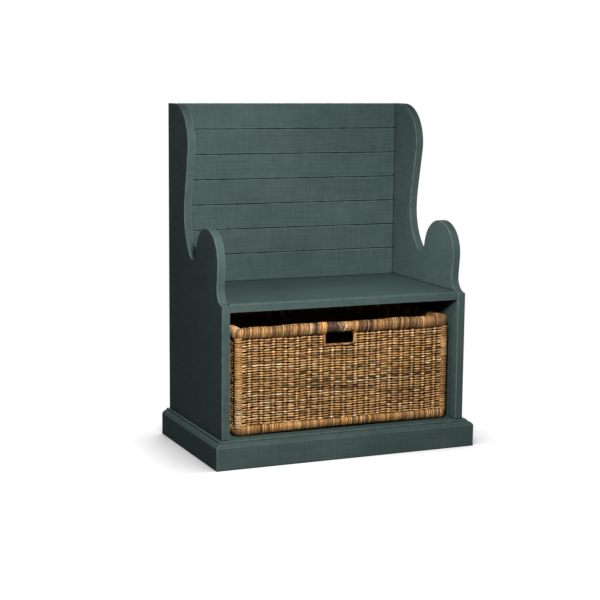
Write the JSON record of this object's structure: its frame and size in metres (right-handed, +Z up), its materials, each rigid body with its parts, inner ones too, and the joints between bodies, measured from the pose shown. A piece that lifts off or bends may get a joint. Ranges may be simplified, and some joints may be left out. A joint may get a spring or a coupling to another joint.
{
  "type": "hall bench",
  "caption": "Hall bench with a high boarded back, scrolled side wings, a flat seat over an open bay and a woven storage basket that slides out.",
  "frame": {"origin": "on the floor, at the middle of the bench's width and of its whole depth, plinth included", "axes": "+Z up, +Y towards the wall behind the bench, front of the seat towards -Y, +X to the right seen from the front"},
  "size_m": [0.87, 0.514, 1.073],
  "materials": {
    "painted_wood": "satin painted wood, dark green-grey",
    "painted_boards": "satin painted boards, dark green-grey",
    "bare_wood": "planed bare softwood",
    "steel_screw": "zinc plated",
    "rattan_weave": "natural woven rattan",
    "rattan_wrap": "natural wrapped rattan"
  },
  "bodies": {
    "bench": {"left_side_panel": "painted_wood", "right_side_panel": "painted_wood", "seat_board": "painted_wood", "bottom_shelf": "painted_wood", "plinth_front": "painted_wood", "plinth_left": "painted_wood", "plinth_right": "painted_wood", "seat_cleat_left": "painted_wood", "seat_cleat_right": "painted_wood", "seat_cleat_rear": "painted_wood", "back_batten_left": "painted_wood", "back_batten_centre": "painted_wood", "back_batten_right": "painted_wood", "back_board_1": "painted_boards", "back_board_2": "painted_boards", "back_board_3": "painted_boards", "back_board_4": "painted_boards", "back_board_5": "painted_boards", "back_board_6": "painted_boards", "back_board_7": "painted_boards", "lower_back_panel": "painted_boards", "front_base_rail": "bare_wood", "rear_base_rail": "bare_wood", "corner_blocks": "bare_wood", "shelf_cleat_left": "bare_wood", "shelf_cleat_right": "bare_wood", "back_screws": "steel_screw", "seat_screws": "steel_screw", "shelf_screws": "steel_screw"},
    "basket": {"basket_front_wall": "rattan_weave", "basket_back_wall": "rattan_weave", "basket_left_wall": "rattan_weave", "basket_right_wall": "rattan_weave", "basket_floor": "rattan_weave", "basket_top_rim": "rattan_wrap", "basket_base_rim": "rattan_wrap", "basket_post_front_left": "rattan_wrap", "basket_post_front_right": "rattan_wrap", "basket_post_rear_left": "rattan_wrap", "basket_post_rear_right": "rattan_wrap", "hand_hole_binding": "rattan_wrap", "basket_floor_rods": "rattan_wrap"}
  },
  "joints": [
    {"name": "basket_slide", "type": "slide", "parent": "bench", "child": "basket", "axis": [0, -1, 0], "range_m": [0, 0.432]}
  ]
}
